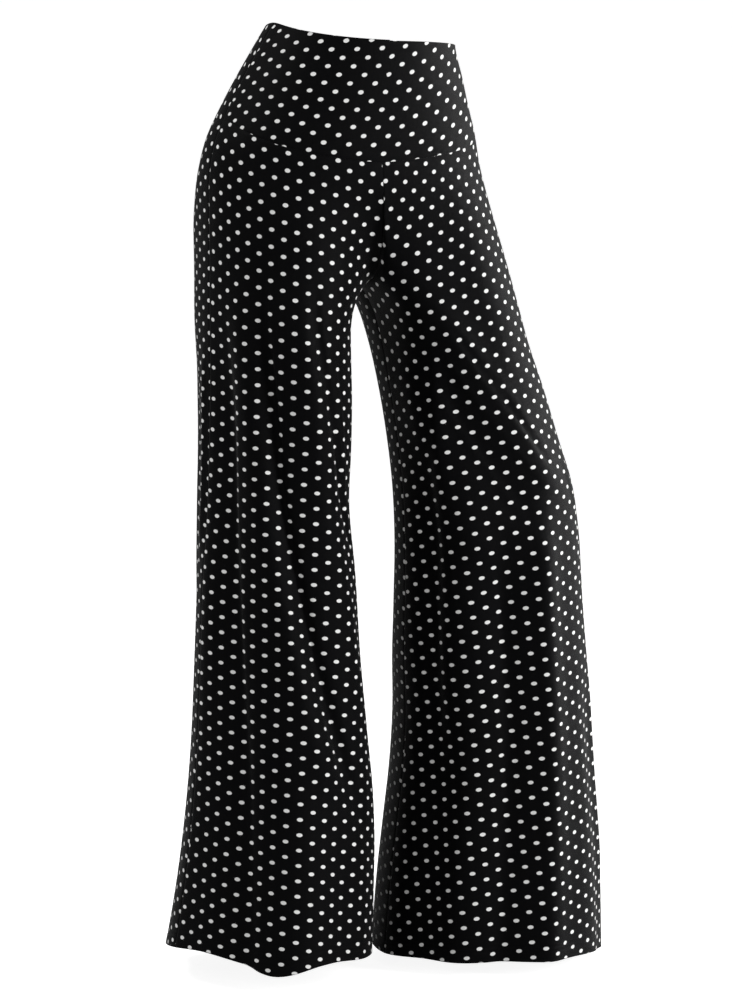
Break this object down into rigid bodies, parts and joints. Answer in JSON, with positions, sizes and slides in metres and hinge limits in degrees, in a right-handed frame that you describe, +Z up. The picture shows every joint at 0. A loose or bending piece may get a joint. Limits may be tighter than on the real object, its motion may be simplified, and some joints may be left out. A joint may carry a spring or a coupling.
{
  "type": "palazzo pants",
  "caption": "Wide-leg pull-on jersey trousers with a deep fold-over waistband, hollow and open at waist and hems, as worn with one leg forward.",
  "frame": {"origin": "middle of the waist opening, at the height of the band's edge", "axes": "+Z up from the hems to the waist; the wearer faces -Y, so the wearer's right leg is at -X and the left leg at +X"},
  "size_m": [0.5189, 0.2986, 1.0642],
  "materials": {
    "front_waistband_jersey": "matt",
    "back_waistband_jersey": "matt",
    "front_right_leg_jersey": "matt",
    "front_left_leg_jersey": "matt",
    "back_right_leg_jersey": "matt",
    "back_left_leg_jersey": "matt"
  },
  "bodies": {
    "root": {"front_waistband": "front_waistband_jersey", "back_waistband": "back_waistband_jersey", "front_right_leg": "front_right_leg_jersey", "front_left_leg": "front_left_leg_jersey", "back_right_leg": "back_right_leg_jersey", "back_left_leg": "back_left_leg_jersey"}
  },
  "joints": []
}
